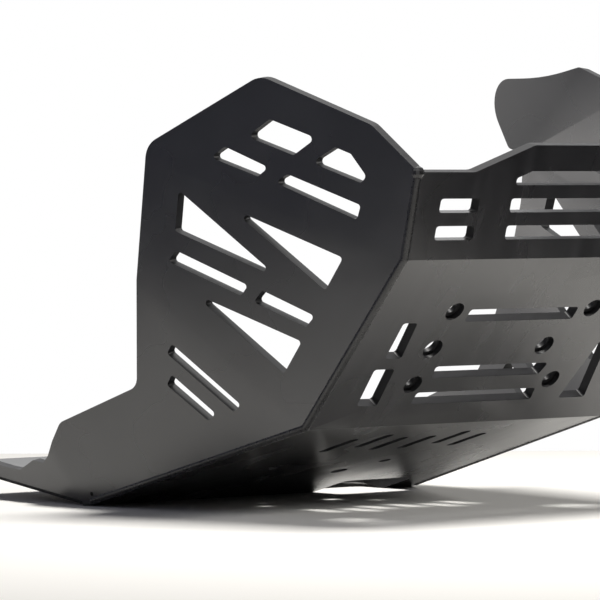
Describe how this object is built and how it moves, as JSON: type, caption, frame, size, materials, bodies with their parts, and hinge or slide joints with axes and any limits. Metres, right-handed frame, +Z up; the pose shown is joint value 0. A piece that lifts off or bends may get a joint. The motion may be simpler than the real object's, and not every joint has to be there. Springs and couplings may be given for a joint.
{
  "type": "motorcycle skid plate",
  "caption": "Folded and welded plastic skid plate with tall side wings, cut-out slots, bolt holes and an access opening in the belly.",
  "frame": {"origin": "on the inner face of the belly, in the middle of its width, where the plate bears on the engine cradle", "axes": "-Y towards the front of the motorcycle, +X to the right in the front view, +Z up"},
  "size_m": [0.4259, 0.5075, 0.3417],
  "materials": {
    "sheet": "satin",
    "weld": "satin, drawn"
  },
  "bodies": {
    "root": {"folded_sheet": "sheet", "left_weld_bead": "weld", "right_weld_bead": "weld"}
  },
  "joints": []
}
